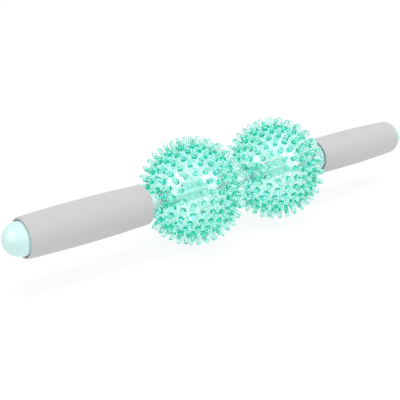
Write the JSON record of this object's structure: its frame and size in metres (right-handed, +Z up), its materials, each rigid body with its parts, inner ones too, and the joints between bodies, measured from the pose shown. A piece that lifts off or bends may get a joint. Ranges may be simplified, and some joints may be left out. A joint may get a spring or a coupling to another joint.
{
  "type": "massage roller",
  "caption": "Handheld massage roller: translucent spiked balls that spin on a steel axle between padded grips with domed end caps.",
  "frame": {"origin": "midway between the balls, on the surface that the lowest spikes stand on", "axes": "+X along the axle, towards the right handle; +Z up"},
  "size_m": [0.3872, 0.08, 0.08],
  "materials": {
    "clear_mint": "translucent glossy plastic",
    "pale_mint": "satin moulded plastic",
    "grey_foam": "matte foam",
    "white_acetal": "moulded bearing plastic",
    "steel": "drawn bar"
  },
  "bodies": {
    "handle": {"axle": "steel", "centre_spacer": "clear_mint", "left_grip": "grey_foam", "left_handle_core": "pale_mint", "left_dome_cap": "pale_mint", "left_anchor_disc": "white_acetal", "left_nut_washer": "steel", "left_axle_nut": "steel", "left_outer_thrust_washer": "white_acetal", "left_inner_thrust_washer": "white_acetal", "right_grip": "grey_foam", "right_handle_core": "pale_mint", "right_dome_cap": "pale_mint", "right_anchor_disc": "white_acetal", "right_nut_washer": "steel", "right_axle_nut": "steel", "right_outer_thrust_washer": "white_acetal", "right_inner_thrust_washer": "white_acetal"},
    "left_ball": {"left_ball_shell": "clear_mint", "left_hub_tube": "clear_mint", "left_inner_bush": "white_acetal", "left_outer_bush": "white_acetal"},
    "right_ball": {"right_ball_shell": "clear_mint", "right_hub_tube": "clear_mint", "right_inner_bush": "white_acetal", "right_outer_bush": "white_acetal"}
  },
  "joints": [
    {"name": "left_ball_spin", "type": "hinge", "parent": "handle", "child": "left_ball", "pos_m": [-0.04165, 0, 0.04], "axis": [1, 0, 0], "continuous": true},
    {"name": "right_ball_spin", "type": "hinge", "parent": "handle", "child": "right_ball", "pos_m": [0.04165, 0, 0.04], "axis": [1, 0, 0], "continuous": true}
  ]
}
